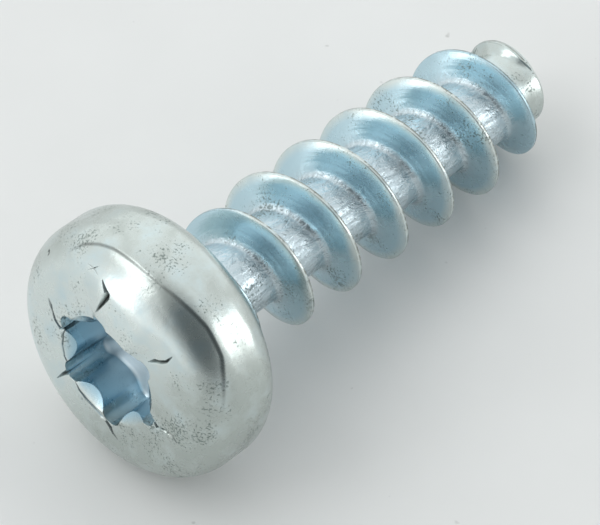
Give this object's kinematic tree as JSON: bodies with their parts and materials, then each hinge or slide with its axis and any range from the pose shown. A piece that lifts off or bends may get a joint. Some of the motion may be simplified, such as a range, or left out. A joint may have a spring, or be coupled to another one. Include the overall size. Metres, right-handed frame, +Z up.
{
  "type": "pan head screw",
  "caption": "Pan head screw for plastics with a six-lobe recess, a widely spaced thread and a blunt tip, lying on its side.",
  "frame": {"origin": "middle of the footprint on the ground, with the screw lying at rest on the edge of its head and one turn of its thread", "axes": "+X from the head towards the tip, +Z up; the screw's own axis lies in the XZ plane, 9.1 degrees tip down"},
  "size_m": [0.02, 0.0092, 0.0091],
  "materials": {
    "zinc_plated_steel": "zinc plated with a pale blue clear passivation, semi-bright, as rolled"
  },
  "bodies": {
    "root": {"pan_head_screw": "zinc_plated_steel"}
  },
  "joints": []
}
